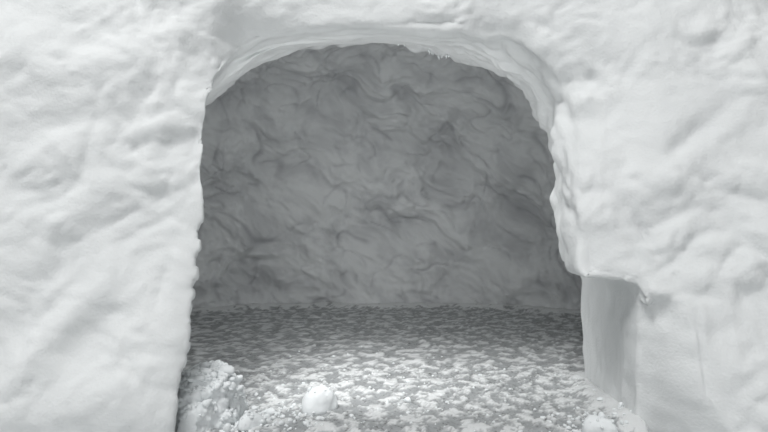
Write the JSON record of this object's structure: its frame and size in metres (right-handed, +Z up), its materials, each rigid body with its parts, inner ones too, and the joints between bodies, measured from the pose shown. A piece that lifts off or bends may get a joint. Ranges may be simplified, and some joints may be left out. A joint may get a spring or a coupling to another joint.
{
  "type": "dug-out snow igloo",
  "caption": "Small low snow igloo: a rounded heap of packed snow with a steep hollowed front, an arched doorway splayed inwards and a low domed chamber.",
  "frame": {"origin": "at ground level under the chamber, on the middle line of the doorway", "axes": "+X to the right as seen from outside, +Y in through the doorway, +Z up"},
  "size_m": [2.8507, 2.0592, 1.38],
  "materials": {
    "packed_snow": "matte",
    "trampled_snow": "satin",
    "loose_snow": "matte"
  },
  "bodies": {
    "root": {"arch_left_haunch": "packed_snow", "arch_right_haunch": "packed_snow", "arch_top": "packed_snow", "chamber_floor": "trampled_snow", "corner_clod": "loose_snow", "crumb_heap": "loose_snow", "doorway_floor": "trampled_snow", "foot_wall_back_left": "packed_snow", "foot_wall_back_right": "packed_snow", "foot_wall_left_back": "packed_snow", "foot_wall_left_front": "packed_snow", "foot_wall_right_back": "packed_snow", "foot_wall_right_front": "packed_snow", "left_jamb": "packed_snow", "long_clod": "loose_snow", "right_jamb": "packed_snow", "roof_back": "packed_snow", "roof_back_left": "packed_snow", "roof_back_right": "packed_snow", "roof_cap": "packed_snow", "roof_front": "packed_snow", "roof_front_left": "packed_snow", "roof_front_right": "packed_snow", "round_clod": "loose_snow", "upper_wall_back_left": "packed_snow", "upper_wall_back_right": "packed_snow", "upper_wall_left_back": "packed_snow", "upper_wall_left_front": "packed_snow", "upper_wall_right_back": "packed_snow", "upper_wall_right_front": "packed_snow"}
  },
  "joints": []
}
